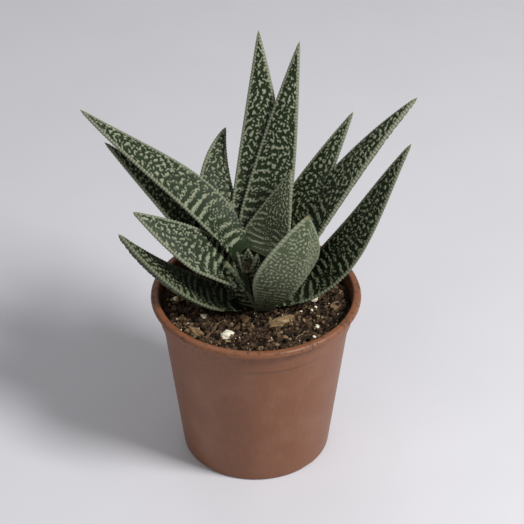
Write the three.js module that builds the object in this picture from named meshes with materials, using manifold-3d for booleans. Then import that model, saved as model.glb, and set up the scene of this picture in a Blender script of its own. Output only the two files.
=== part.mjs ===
// A potted gasterhaworthia: a rosette of thick keeled leaves with raised pale tubercles in cross bands,
// growing from a short stem in a thin-walled plastic nursery pot of soil.
// Millimetres, +Z up. The origin is the middle of the pot's underside. -Y is the side seen in front.
import * as THREE from "three";
import { mergeVertices } from "three/addons/utils/BufferGeometryUtils.js";
import Module from "manifold-3d";

const wasm = await Module();
wasm.setup();

// Driving dimensions of the pot
const POT_HEIGHT = 92;
const RIM_RADIUS = 52.5;
const BASE_RADIUS = 37.5;
const WALL = 1.0;
const COLLAR_HEIGHT = 15;
const COLLAR_STEP = 1.3;
const LIP_WIDTH = 3.2;
const LIP_HEIGHT = 2.8;
const SHOULDER_RADIUS = 46.8;
const POT_SIDES = 40;
const CENTRE_LAND_RADIUS = 14;
const FOOT_WIDTH = 3.5;
const CHANNEL_RISE = 2.5;
const DRAIN_HOLES = 8;
const DRAIN_RADIUS = 3.2;
const FOOT_VENTS = 4;
const VENT_WIDTH = 7;

// Driving dimensions of the soil and what lies in it
const SOIL_LEVEL = 85;
const SOIL_RELIEF = 1.1;
const SOIL_RINGS = 8;
const GAP = 0.3;

// Driving dimensions of the rosette
const ROSETTE_CENTRE = [-4, 2.5];
const STEM_RADIUS = 8.5;
const STEM_TOP = SOIL_LEVEL + 20;
const ROOT_DEPTH = 20;
const SCAR_STEP = 2.6;
const SCAR_HEIGHT = 0.7;
const STATION_STEP = 2.95;
const CUTTER_STEP = 5.4;
const FEWEST_STATIONS = 7;
const LAST_STATION = 0.985;
const BAND_HEIGHT = 0.55;
const BAND_ARCH = 1.6;
const MARGIN_HALF = 0.45;
const KEEL_DEPTH = 0.28;
const HOLLOW = -0.11;
const FULLNESS = 0.05;

const COLOURS = {
  pot: 0x93553b,
  soil: 0x3a2c22,
  leaf: 0x3c4a34,
  stem: 0x76805a,
  perlite: 0xdcd5be,
  bark: 0x8a7350,
};

const clamp01 = (x) => Math.min(1, Math.max(0, x));
const smooth = (x) => clamp01(x) ** 2 * (3 - 2 * clamp01(x));
const radians = THREE.MathUtils.degToRad;

// The leaves from the oldest and lowest to the youngest. azimuth is the way the leaf points, from +X
// towards +Y, bearing, where it differs, the way its root lies from the middle of the rosette, rootRise and
// tipRise its slope at the root and further out, curl what the tip adds to that, sweep its sideways turn and
// roll its turn about its own length, all in degrees. length, width, reach, the root's distance from the
// middle, and rootHeight, its height over the soil's level, are in millimetres. foot is the share of the
// width at the root, and broadest is where the leaf has its full width, from root 0 to tip 1.
const LEAVES = [
  {
    name: "leaf_01_old_base", azimuth: 213, bearing: 265, rootRise: 70, tipRise: 66, curl: 0, sweep: 0,
    roll: 0, length: 30, width: 21, reach: 6, rootHeight: 3, taper: 3.5, foot: 0.9, broadest: 0.3,
  },
  {
    name: "leaf_02_left_low", azimuth: 192, bearing: 235, rootRise: 14, tipRise: 41, curl: 11, sweep: -7,
    roll: -6, length: 75, width: 24, reach: 8, rootHeight: 4,
  },
  {
    name: "leaf_03_front_cupped", azimuth: 302, bearing: 315, rootRise: 63, tipRise: 67, curl: 19, sweep: 18,
    roll: 0, length: 66, width: 37, reach: 14, rootHeight: 3.5, taper: 1.7, foot: 0.45, broadest: 0.5,
  },
  {
    name: "leaf_04_right_upturned", azimuth: 0, rootRise: 1, tipRise: 71, curl: -10, sweep: 4, roll: 32,
    length: 118, width: 25, reach: 7, rootHeight: 2.5,
  },
  {
    name: "leaf_05_back_low", azimuth: 86, rootRise: 10, tipRise: 22, curl: 6, sweep: 4, roll: 6,
    length: 84, width: 22, reach: 7, rootHeight: 5,
  },
  {
    name: "leaf_06_left_under", azimuth: 154, rootRise: 55, tipRise: 34, curl: 0, sweep: 1, roll: -10,
    length: 93, width: 22, reach: 7, rootHeight: 13,
  },
  {
    name: "leaf_07_back_left_low", azimuth: 126, rootRise: 8, tipRise: 16, curl: 4, sweep: -4, roll: -10,
    length: 70, width: 22, reach: 7, rootHeight: 7,
  },
  {
    name: "leaf_08_back_left_inner", azimuth: 138, rootRise: 58, tipRise: 44, curl: -1, sweep: -61, roll: 0,
    length: 81, width: 27, reach: 6, rootHeight: 13,
  },
  {
    name: "leaf_09_right_long", azimuth: 27, rootRise: 43, tipRise: 54, curl: -17, sweep: -4, roll: -10,
    length: 122, width: 31, reach: 6, rootHeight: 8,
  },
  {
    name: "leaf_10_back_right", azimuth: 46, rootRise: 32, tipRise: 48, curl: 2, sweep: -4, roll: 6,
    length: 95, width: 23, reach: 5, rootHeight: 13,
  },
  {
    name: "leaf_11_back_tall", azimuth: 68.5, rootRise: 39, tipRise: 68, curl: -1, sweep: -3.5, roll: 0,
    length: 114, width: 25, reach: 5, rootHeight: 18.5, taper: 1.4,
  },
  {
    name: "leaf_12_back_tall_inner", azimuth: 78, rootRise: 31, tipRise: 71, curl: -4.5, sweep: 8, roll: 0,
    length: 119, width: 27, reach: 5, rootHeight: 17,
  },
  {
    name: "leaf_13_left_long", azimuth: 152, rootRise: 66, tipRise: 16, curl: 14, sweep: 2, roll: -14,
    length: 109, width: 22, reach: 3.5, rootHeight: 27,
  },
  {
    name: "leaf_14_left_broad", azimuth: 183, bearing: 275, rootRise: 30, tipRise: 36, curl: 0, sweep: -3.5,
    roll: -28, length: 68, width: 24, reach: 8, rootHeight: 20, foot: 1.2, broadest: 0.35,
  },
  {
    name: "leaf_15_right_inner", azimuth: 50, bearing: 30, rootRise: 54, tipRise: 58, curl: 0, sweep: 0,
    roll: 0, length: 45, width: 30, reach: 7, rootHeight: 25, taper: 1.15, foot: 0.95, broadest: 0.1,
  },
  {
    name: "leaf_16_left_heart", azimuth: 190, rootRise: 62, tipRise: 78, curl: 6, sweep: 0, roll: 0,
    length: 12, width: 10, reach: 2.4, rootHeight: 18,
  },
  {
    name: "leaf_17_right_heart", azimuth: 330, rootRise: 64, tipRise: 78, curl: 6, sweep: 0, roll: 0,
    length: 12, width: 9, reach: 2.4, rootHeight: 18,
  },
  {
    name: "leaf_18_heart", azimuth: 90, rootRise: 76, tipRise: 86, curl: 6, sweep: 0, roll: 0,
    length: 11, width: 7, reach: 0.6, rootHeight: 19,
  },
];

// What lies in the soil: place, size and turn. Two large white granules and the long tan chip show most.
const GRANULES = [
  { name: "perlite_1", at: [-14, -28], size: [7, 5, 4.2], turn: 20 },
  { name: "perlite_2", at: [29, 5], size: [8, 6.5, 6.5], turn: 70 },
  { name: "perlite_3", at: [-26, -13], size: [4, 3, 2.6], turn: 10 },
  { name: "perlite_4", at: [-40, 1], size: [3.6, 3, 2.6], turn: 50 },
  { name: "perlite_5", at: [30, -20], size: [3.2, 2.6, 2.4], turn: 130 },
  { name: "perlite_6", at: [2, 38], size: [5, 4, 3.6], turn: 30 },
];
const CHIPS = [
  { name: "bark_chip_1", at: [12, -17], size: [15, 5.5, 3.6], turn: 32 },
  { name: "bark_chip_2", at: [-30, -25], size: [9, 4.5, 3.2], turn: -38 },
  { name: "bark_chip_3", at: [39, -4], size: [8, 4, 3], turn: 64 },
  { name: "bark_chip_4", at: [-24, 35], size: [11, 5, 3.4], turn: 15 },
];

// A closed solid from rings of points, each ring as long as the others, with a point closing each end.
function ringSolid(rings, start, end) {
  const count = rings[0].length;
  const points = [start, ...rings.flat(), end];
  const last = points.length - 1;
  const faces = [];
  for (let j = 0; j < count; j++) {
    const next = (j + 1) % count;
    faces.push(0, 1 + next, 1 + j);
    for (let i = 0; i + 1 < rings.length; i++) {
      const a = 1 + i * count + j;
      const b = 1 + i * count + next;
      const c = a + count;
      const d = b + count;
      if ((i + j) % 2) faces.push(a, b, c, b, d, c);
      else faces.push(a, b, d, a, d, c);
    }
    faces.push(last, last - count + j, last - count + next);
  }
  return solidOf(points.flat(), faces);
}

// A manifold solid from flat coordinates and triangle corners, turned right side out.
function solidOf(coordinates, corners) {
  const build = (order) =>
    new wasm.Manifold(
      new wasm.Mesh({
        numProp: 3,
        vertProperties: new Float32Array(coordinates),
        triVerts: new Uint32Array(order),
      }),
    );
  const made = build(corners);
  if (made.volume() > 0) return made;
  const turned = [];
  for (let i = 0; i < corners.length; i += 3) turned.push(corners[i], corners[i + 2], corners[i + 1]);
  return build(turned);
}

// A three.js geometry as a manifold solid.
function solidFromGeometry(geometry) {
  const bare = new THREE.BufferGeometry().setAttribute("position", geometry.getAttribute("position"));
  if (geometry.index) bare.setIndex(geometry.index);
  const merged = mergeVertices(bare, 1e-3);
  return solidOf(merged.attributes.position.array, merged.index.array);
}

// A profile of [radius, height] points turned about Z.
function turned(profile, sides = POT_SIDES) {
  const lathe = new THREE.LatheGeometry(
    profile.map(([r, z]) => new THREE.Vector2(r, z)),
    sides,
  );
  return solidFromGeometry(lathe.rotateX(Math.PI / 2));
}

// A manifold solid as a three.js geometry.
function geometryOf(solid) {
  const data = solid.getMesh();
  const geometry = new THREE.BufferGeometry();
  geometry.setAttribute("position", new THREE.BufferAttribute(data.vertProperties, 3));
  geometry.setIndex(new THREE.BufferAttribute(data.triVerts, 1));
  return geometry;
}

// A manifold solid as a named mesh.
function meshOf(name, solid, colour, roughness = 0.7) {
  const geometry = geometryOf(solid);
  geometry.computeVertexNormals();
  const material = new THREE.MeshStandardMaterial({ color: colour, roughness, metalness: 0 });
  const mesh = new THREE.Mesh(geometry, material);
  mesh.name = name;
  return mesh;
}

// The largest body of a cut solid whose near corners are merged: what the cut leaves loose, or held by no
// more than a corner, is dropped.
const largestBody = (solid) =>
  solidFromGeometry(geometryOf(solid))
    .decompose()
    .reduce((a, b) => (b.volume() > a.volume() ? b : a));

// How much of its full width a leaf has at t, from root 0 to tip 1: it goes from its foot's share to where it
// is broadest, then tapers in a line that bulges more the greater its taper is, to a sharp point.
const leafWidth = (t, { foot = 0.8, broadest = 0.22, taper = 1.55 }) =>
  t < broadest
    ? foot + (1 - foot) * smooth(t / broadest)
    : 1 - ((t - broadest) / (1 - broadest)) ** taper;

// Where a leaf's midrib runs: its slope settles towards tipRise with the cube of what is left of the way,
// while it bends sideways in its own plane, and the sum of short steps gives the points. Returns a function
// from t to the point there and the directions across, up and along the leaf.
const MIDRIB_STEPS = 60;
function midribOf(leaf) {
  const heading = radians(leaf.azimuth);
  const bearing = radians(leaf.bearing ?? leaf.azimuth);
  const level = new THREE.Vector3(-Math.sin(heading), Math.cos(heading), 0);
  const directionsAt = (t) => {
    const rise = radians(leaf.tipRise + (leaf.rootRise - leaf.tipRise) * (1 - t) ** 3 + leaf.curl * t ** 2);
    const straight = new THREE.Vector3(
      Math.cos(rise) * Math.cos(heading),
      Math.cos(rise) * Math.sin(heading),
      Math.sin(rise),
    );
    const normal = new THREE.Vector3().crossVectors(straight, level);
    const along = straight.applyAxisAngle(normal, radians(leaf.sweep * t));
    const across = new THREE.Vector3().crossVectors(normal, along);
    across.applyAxisAngle(along, radians(leaf.roll * smooth(t * 2)));
    return { across, up: new THREE.Vector3().crossVectors(along, across), along };
  };
  const points = [
    new THREE.Vector3(
      ROSETTE_CENTRE[0] + leaf.reach * Math.cos(bearing),
      ROSETTE_CENTRE[1] + leaf.reach * Math.sin(bearing),
      SOIL_LEVEL + leaf.rootHeight,
    ),
  ];
  for (let k = 0; k < MIDRIB_STEPS; k++) {
    const { along } = directionsAt((k + 0.5) / MIDRIB_STEPS);
    points.push(points[k].clone().addScaledVector(along, leaf.length / MIDRIB_STEPS));
  }
  return (t) => {
    const place = clamp01(t) * MIDRIB_STEPS;
    const k = Math.min(MIDRIB_STEPS - 1, Math.floor(place));
    return { point: points[k].clone().lerp(points[k + 1], place - k), ...directionsAt(t) };
  };
}

// One leaf. Each cross-section has an upper face that is hollow near the root and full near the tip, thin
// margins and a keeled under face. Every second section stands out by the height of a band of tubercles, by
// turns more on its even and on its odd corners, and the bands arch towards the tip.
// grow widens the leaf on all sides, which makes the cutter that leaves a gap round it; it has no bands.
const UPPER_LINE = [1, 0.58, 0, -0.58, -1];
const LOWER_LINE = [-1, -0.58, 0, 0.58, 1];
const CORNERS = [...UPPER_LINE.map((v) => ({ v, side: 1 })), ...LOWER_LINE.map((v) => ({ v, side: -1 }))];
function leafSolid(leaf, grow = 0) {
  const frameAt = midribOf(leaf);
  const cutter = grow > 0;
  const step = cutter ? CUTTER_STEP : STATION_STEP;
  const stations = Math.max(FEWEST_STATIONS, Math.round(leaf.length / step));
  const rings = [];
  for (let i = 0; i < stations; i++) {
    const at = (LAST_STATION * i) / (stations - 1);
    const bandFade = cutter ? 0 : smooth((at - 0.06) / 0.12) * smooth((1 - at) / 0.1);
    const ring = CORNERS.map(({ v, side }, j) => {
      const t = at + (BAND_ARCH * bandFade * (1 - v * v)) / leaf.length;
      const { point, across, up } = frameAt(t);
      const full = leafWidth(t, leaf);
      const fill = full ** 0.8 * (0.55 + 0.45 * smooth(t / 0.3));
      const upper = leaf.width * (HOLLOW + (FULLNESS - HOLLOW) * smooth(t / 0.7)) * fill * (1 - v * v);
      const lower = -leaf.width * KEEL_DEPTH * fill * (1 - Math.abs(v) ** 1.35);
      const tall = (i % 4 === 1) === (j % 2 === 0) ? 1 : 0.5;
      const proud = i % 2 ? BAND_HEIGHT * bandFade * tall : 0;
      point.addScaledVector(across, v * ((leaf.width / 2) * full + grow + 0.7 * proud));
      point.addScaledVector(up, (side > 0 ? upper : lower) + side * (MARGIN_HALF + grow + proud));
      return point.toArray();
    });
    rings.push(ring);
  }
  const root = frameAt(0);
  const tip = frameAt(1);
  const start = root.point.addScaledVector(root.along, -2 * grow).addScaledVector(root.up, -0.5);
  const end = tip.point.addScaledVector(tip.along, 2 * grow);
  return ringSolid(rings, start.toArray(), end.toArray());
}

// The pot's wall, rim and floor as one turned profile, pierced by the drain holes and the foot's vents.
function potSolid() {
  const top = POT_HEIGHT;
  const collarFoot = top - COLLAR_HEIGHT;
  const collarRadius = SHOULDER_RADIUS + COLLAR_STEP;
  const lipFoot = top - LIP_HEIGHT;
  const neck = RIM_RADIUS - LIP_WIDTH;
  const floor = CHANNEL_RISE + WALL;
  const footInner = BASE_RADIUS - FOOT_WIDTH;
  const profile = [
    [0, 0],
    [CENTRE_LAND_RADIUS, 0],
    [CENTRE_LAND_RADIUS + 1.5, CHANNEL_RISE],
    [footInner - 1.5, CHANNEL_RISE],
    [footInner, 0],
    [BASE_RADIUS - 0.8, 0],
    [BASE_RADIUS, 1],
    [SHOULDER_RADIUS, collarFoot],
    [collarRadius, collarFoot + 1],
    [neck, lipFoot],
    [RIM_RADIUS - 0.3, lipFoot],
    [RIM_RADIUS, lipFoot + 0.7],
    [RIM_RADIUS - 0.5, top - 0.5],
    [RIM_RADIUS - 1.4, top],
    [neck - 0.2, top],
    [neck - WALL, top - 0.9],
    [collarRadius - WALL, collarFoot + 1.4],
    [SHOULDER_RADIUS - WALL, collarFoot],
    [BASE_RADIUS - WALL + 0.3, floor],
    [CENTRE_LAND_RADIUS + 1.1, floor],
    [CENTRE_LAND_RADIUS - 0.5, WALL],
    [0, WALL],
  ];
  let pot = turned(profile);
  const holeRing = (CENTRE_LAND_RADIUS + footInner) / 2 + 2;
  for (let k = 0; k < DRAIN_HOLES; k++) {
    const angle = (k * 2 * Math.PI) / DRAIN_HOLES;
    const hole = new THREE.CylinderGeometry(DRAIN_RADIUS, DRAIN_RADIUS, 3 * floor, 10);
    hole.rotateX(Math.PI / 2).translate(holeRing * Math.cos(angle), holeRing * Math.sin(angle), floor);
    pot = pot.subtract(solidFromGeometry(hole));
  }
  for (let k = 0; k < FOOT_VENTS; k++) {
    const vent = new THREE.BoxGeometry(FOOT_WIDTH + 4, VENT_WIDTH, 2.4);
    const angle = ((k + 0.5) * 2 * Math.PI) / FOOT_VENTS;
    vent.translate(BASE_RADIUS - FOOT_WIDTH / 2 + 1.4, 0, 0).rotateZ(angle);
    pot = pot.subtract(solidFromGeometry(vent));
  }
  return pot;
}

// The soil's height at a place: its level plus three crossed waves for its lumps.
function soilHeight(x, y) {
  const lumps =
    Math.sin(x * 0.31 + 1.3) * Math.cos(y * 0.27 - 0.4) +
    0.6 * Math.sin(x * 0.63 + y * 0.41) +
    0.4 * Math.cos(x * 0.22 - y * 0.71 + 2.0);
  return SOIL_LEVEL + (SOIL_RELIEF * lumps) / 2;
}

// The soil fills the pot to its level, a gap clear of the wall and floor, with its top raised into lumps.
function soilSolid() {
  const slope = (SHOULDER_RADIUS - BASE_RADIUS) / (POT_HEIGHT - COLLAR_HEIGHT - 1);
  const collarFoot = POT_HEIGHT - COLLAR_HEIGHT;
  const floor = CHANNEL_RISE + WALL + GAP;
  const shoulder = SHOULDER_RADIUS - WALL - GAP;
  const edge = shoulder + COLLAR_STEP;
  const foot = shoulder - slope * (collarFoot - floor) - 0.1;
  const circle = (radius, height) =>
    Array.from({ length: POT_SIDES }, (_, k) => {
      const angle = (k * 2 * Math.PI) / POT_SIDES;
      const x = radius * Math.cos(angle);
      const y = radius * Math.sin(angle);
      return [x, y, height ?? soilHeight(x, y)];
    });
  const rings = [
    circle(CENTRE_LAND_RADIUS - 0.9, WALL + GAP),
    circle(CENTRE_LAND_RADIUS + 0.9, floor),
    circle(foot, floor),
    circle(shoulder, collarFoot - 0.4),
    circle(edge, collarFoot + 2.4),
  ];
  for (let k = SOIL_RINGS; k > 0; k--) rings.push(circle((edge * k) / SOIL_RINGS));
  return ringSolid(rings, [0, 0, WALL + GAP], [0, 0, soilHeight(0, 0)]);
}

// The short stem, ringed by the scars of old leaves, and the root crown under it, turned about the middle
// of the rosette. grow makes the soil's hole.
function stemSolid(grow = 0) {
  const r = STEM_RADIUS + grow;
  const foot = SOIL_LEVEL - ROOT_DEPTH;
  const profile = [
    [0, foot - grow],
    [r * 0.35, foot - grow],
    [r * 0.75, foot + ROOT_DEPTH * 0.35],
    [r, SOIL_LEVEL - 3],
  ];
  for (let z = SOIL_LEVEL - 0.5; z < STEM_TOP; z += SCAR_STEP) {
    const narrowing = 1 - 0.4 * smooth((z - SOIL_LEVEL) / (STEM_TOP - SOIL_LEVEL));
    profile.push([r * narrowing + SCAR_HEIGHT, z], [r * narrowing, z + SCAR_STEP * 0.7]);
  }
  profile.push([0, STEM_TOP + SCAR_STEP]);
  return turned(profile, 16).translate(...ROSETTE_CENTRE, 0);
}

// A granule or chip: a ball of few faces, pushed in and out by a formula of its corners, lying half sunk.
function lumpSolid({ at, size, turn }, detail, grow = 0) {
  const ball = detail ? new THREE.IcosahedronGeometry(1, 1) : new THREE.DodecahedronGeometry(1, 0);
  const place = ball.getAttribute("position");
  for (let k = 0; k < place.count; k++) {
    const [x, y, z] = [place.getX(k), place.getY(k), place.getZ(k)];
    const push = 1 + 0.16 * Math.sin(5.1 * x + 3.7 * y + at[0]) * Math.cos(4.3 * z + at[1]);
    place.setXYZ(k, x * push, y * push, z * push);
  }
  ball.scale(size[0] / 2 + grow, size[1] / 2 + grow, size[2] / 2 + grow).rotateZ(radians(turn));
  ball.translate(at[0], at[1], soilHeight(...at) + size[2] * 0.12);
  return solidFromGeometry(ball);
}

// The young leaves keep their shape, and an older leaf is hollowed where a younger one presses into it.
const cutters = LEAVES.map((leaf) => leafSolid(leaf, GAP + BAND_HEIGHT));
const leaves = LEAVES.map((leaf, k) => {
  const younger = cutters.slice(k + 1);
  const whole = leafSolid(leaf);
  return younger.length ? largestBody(whole.subtract(wasm.Manifold.union(younger))) : whole;
});
const allLeaves = wasm.Manifold.union(cutters);
const lumps = [
  ...GRANULES.map((item) => ({ item, detail: false, colour: COLOURS.perlite })),
  ...CHIPS.map((item) => ({ item, detail: true, colour: COLOURS.bark })),
];

let soil = soilSolid().subtract(stemSolid(GAP)).subtract(allLeaves);
for (const { item, detail } of lumps) soil = soil.subtract(lumpSolid(item, detail, GAP));

const plant = new THREE.Group();
plant.add(meshOf("pot", potSolid(), COLOURS.pot, 0.55));
plant.add(meshOf("soil", largestBody(soil), COLOURS.soil, 0.95));
plant.add(meshOf("stem", largestBody(stemSolid().subtract(allLeaves)), COLOURS.stem, 0.7));
LEAVES.forEach((leaf, k) => plant.add(meshOf(leaf.name, leaves[k], COLOURS.leaf, 0.5)));
for (const { item, detail, colour } of lumps) {
  plant.add(meshOf(item.name, lumpSolid(item, detail), colour, 0.9));
}

export default plant;
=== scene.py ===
"""The looks of a potted gasterhaworthia: a rosette of keeled, warty leaves in a nursery pot of soil.

Shapes are worked out in millimetres and become metres when their mesh is made. +Z is up, and -Y is the side
that the camera looks at.
"""

import logging
from collections.abc import Sequence
from dataclasses import dataclass, field
from enum import Enum

import bpy
import numpy as np
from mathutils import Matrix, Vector


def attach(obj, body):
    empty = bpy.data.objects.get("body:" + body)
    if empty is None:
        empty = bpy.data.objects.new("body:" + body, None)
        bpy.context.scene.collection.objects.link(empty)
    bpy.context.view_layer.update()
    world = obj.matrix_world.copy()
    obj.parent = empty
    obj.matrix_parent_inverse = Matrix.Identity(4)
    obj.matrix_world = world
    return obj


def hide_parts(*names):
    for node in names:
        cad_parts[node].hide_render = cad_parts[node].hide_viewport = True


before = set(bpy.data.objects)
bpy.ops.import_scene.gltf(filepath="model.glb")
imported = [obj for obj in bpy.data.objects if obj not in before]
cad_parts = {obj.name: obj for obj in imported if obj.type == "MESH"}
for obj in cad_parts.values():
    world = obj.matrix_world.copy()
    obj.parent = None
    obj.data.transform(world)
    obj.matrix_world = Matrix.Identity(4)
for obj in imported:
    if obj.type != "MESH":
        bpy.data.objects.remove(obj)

Array = np.ndarray
LOG = logging.getLogger("potted_plant")
MM = 0.001
FULL_TURN = 2 * np.pi
ACROSS = np.array([0.0, 1.0, 0.0])
UP = np.array([0.0, 0.0, 1.0])
BODY = "root"

POT_HEIGHT = 92.0
SOIL_LEVEL = 85.0
SOIL_RELIEF = 1.1
ROSETTE_CENTRE = (-4.0, 2.5)
STEM_RADIUS = 8.5
STEM_TOP = SOIL_LEVEL + 20
ROOT_DEPTH = 20.0
MARGIN_HALF = 0.45
KEEL_DEPTH = 0.28
HOLLOW = -0.11
FULLNESS = 0.05


# Small sums


def smooth(x: Array | float) -> Array | float:
    """Ease from 0 to 1 while x goes from 0 to 1: 3x squared less 2x cubed."""
    held = np.clip(x, 0.0, 1.0)
    return held * held * (3 - 2 * held)


def unit(vectors: Array) -> Array:
    """Vectors brought to length one along the last axis."""
    return vectors / np.maximum(np.linalg.norm(vectors, axis=-1, keepdims=True), 1e-12)


def xyz(x: Array | float, y: Array | float, z: Array | float) -> Array:
    """Points from coordinates that are spread to one shape, the three along a new last axis."""
    return np.stack(np.broadcast_arrays(x, y, z), axis=-1)


def angles(count: int) -> Array:
    """So many angles, evenly spread round a full turn."""
    return np.linspace(0, FULL_TURN, count, endpoint=False)


def rotated(vectors: Array, axes: Array, degrees: Array | float) -> Array:
    """Turn vectors about unit axes by Rodrigues' formula.

    Args:
        vectors: points or directions, (..., 3).
        axes: unit axes, (..., 3).
        degrees: the angle for each vector.

    Returns:
        The vectors' part across the axis turned by the angle, with the part along it kept.
    """
    angle = np.radians(np.asarray(degrees, dtype=float))[..., None]
    along = axes * np.sum(axes * vectors, axis=-1, keepdims=True)
    return along + (vectors - along) * np.cos(angle) + np.cross(axes, vectors) * np.sin(angle)


def linear(hex_colour: str) -> tuple[float, float, float, float]:
    """Turn an sRGB hex colour into the linear colour that a shader socket takes.

    Args:
        hex_colour: such as "#3a4a2c".

    Returns:
        Red, green, blue and an alpha of one.
    """
    parts = [int(hex_colour[k : k + 2], 16) / 255 for k in (1, 3, 5)]
    red, green, blue = (c / 12.92 if c <= 0.04045 else ((c + 0.055) / 1.055) ** 2.4 for c in parts)
    return red, green, blue, 1.0


# Fields


@dataclass(frozen=True)
class Field:
    """A seeded pattern on a flat sheet in millimetres, read by position and repeating past its edges."""

    values: Array
    step: float

    def at(self, x: Array, y: Array) -> Array:
        """Read the pattern between its samples.

        Args:
            x: places along the sheet's first side, in mm.
            y: places along its second side, in mm.

        Returns:
            The mean of the four samples round each place, weighted by how near they are.
        """
        rows, columns = self.values.shape
        p, q = np.asarray(x) / self.step, np.asarray(y) / self.step
        i, j = np.floor(p).astype(int), np.floor(q).astype(int)
        a, b = p - i, q - j
        low, high = (
            self.values[row, j % columns] * (1 - b) + self.values[row, (j + 1) % columns] * b
            for row in (i % rows, (i + 1) % rows)
        )
        return low * (1 - a) + high * a


def wave_field(
    rng: np.random.Generator,
    size: tuple[float, float],
    spacing: float,
    step: float = 0.25,
    band: float = 0.3,
    fan: float | None = None,
) -> Field:
    """Make a pattern whose ridges lie about one spacing apart.

    White noise is taken to its frequencies, each frequency k is weighted by exp(-((k - k0) / (band k0))^2)
    with k0 = 1 / spacing, and, where a fan is given, by exp(-(angle / fan)^2) with the angle from the first
    side, so that the ridges lie across that side. The result is scaled to a spread of one.

    Args:
        rng: the seeded source of the noise.
        size: the sheet's two sides, in mm.
        spacing: how far apart the ridges are, in mm.
        step: the distance between samples, in mm.
        band: how far the spacing strays from its mean, as a share of it.
        fan: how far the waves stray from the first side's direction, in radians; None for all directions.

    Returns:
        The pattern as a field.
    """
    shape = tuple(int(np.ceil(side / step)) for side in size)
    spectrum = np.fft.rfft2(rng.standard_normal(shape))
    fx = np.fft.fftfreq(shape[0], step)[:, None]
    fy = np.fft.rfftfreq(shape[1], step)[None, :]
    wanted = 1 / spacing
    weight = np.exp(-(((np.hypot(fx, fy) - wanted) / (band * wanted)) ** 2))
    if fan is not None:
        weight = weight * np.exp(-((np.arctan2(np.abs(fy), np.abs(fx) + 1e-9) / fan) ** 2))
    values = np.fft.irfft2(spectrum * weight, shape)
    return Field(values / values.std(), step)


def soil_height(x: Array | float, y: Array | float) -> Array | float:
    """Height in mm of the soil's broad lumps, which are the crossed waves of the solid's top."""
    broad = np.sin(x * 0.31 + 1.3) * np.cos(y * 0.27 - 0.4) + 0.6 * np.sin(x * 0.63 + y * 0.41)
    return SOIL_LEVEL + SOIL_RELIEF * (broad + 0.4 * np.cos(x * 0.22 - y * 0.71 + 2.0)) / 2


# Meshes


@dataclass
class Skin:
    """Corners in mm, faces and values by corner of a mesh that is being made."""

    corners: Array
    faces: list[Array]
    values: dict[str, Array] = field(default_factory=dict)


def gathered(skins: Sequence[Skin]) -> Skin:
    """Put skins side by side in one mesh.

    Args:
        skins: the skins, all with the same named values.

    Returns:
        One skin, with each skin's corner numbers moved past those before it.
    """
    starts = np.cumsum([0] + [len(skin.corners) for skin in skins[:-1]])
    faces = [block + start for skin, start in zip(skins, starts) for block in skin.faces]
    values = {key: np.concatenate([skin.values[key] for skin in skins]) for key in skins[0].values}
    return Skin(np.concatenate([skin.corners for skin in skins]), faces, values)


def closed_skin(
    rings: Array, poles: Sequence[Array] | None = None, values: dict[str, Array] | None = None
) -> Skin:
    """Close rings of points into one outward skin.

    Corner (i, j) is point j of ring i. Quads join it to (i, j+1), (i+1, j+1) and (i+1, j), a fan closes each
    end at a pole, and all faces are turned round where the signed volume comes out negative.

    Args:
        rings: points, (rings, points in a ring, 3).
        poles: the points before the first ring and after the last; the middles of these rings where left out.
        values: named values by corner, (rings, points in a ring); a pole takes its ring's mean.

    Returns:
        The closed skin.
    """
    start, end = (rings[0].mean(axis=0), rings[-1].mean(axis=0)) if poles is None else poles
    rows, columns = rings.shape[:2]
    corners = np.concatenate([rings.reshape(-1, 3), [start], [end]])
    number = np.arange(rows * columns).reshape(rows, columns)
    after = np.roll(number, -1, axis=1)
    quads = np.stack([number[:-1], after[:-1], after[1:], number[1:]], axis=-1).reshape(-1, 4)
    fans = [xyz(after[0], number[0], rows * columns), xyz(number[-1], after[-1], rows * columns + 1)]
    faces = [quads, np.concatenate(fans)]
    if signed_volume(corners, faces) < 0:
        faces = [block[:, ::-1] for block in faces]
    spread = {
        key: np.concatenate([value.ravel(), [value[0].mean()], [value[-1].mean()]])
        for key, value in (values or {}).items()
    }
    return Skin(corners, faces, spread)


def signed_volume(corners: Array, faces: Sequence[Array]) -> float:
    """Sum of the tetrahedra from the origin to the faces' triangles, negative where they point inwards."""
    triangles = [corners[block[:, [0, k, k + 1]]] for block in faces for k in range(1, block.shape[1] - 1)]
    return float(sum(np.sum(t[:, 0] * np.cross(t[:, 1], t[:, 2])) for t in triangles)) / 6


def placed(name: str, data: bpy.types.ID) -> bpy.types.Object:
    """Make an object of a mesh, lamp or camera and link it to the scene.

    Args:
        name: the object's name.
        data: what it shows.

    Returns:
        The object.
    """
    made = bpy.data.objects.new(name, data)
    bpy.context.scene.collection.objects.link(made)
    return made


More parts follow.
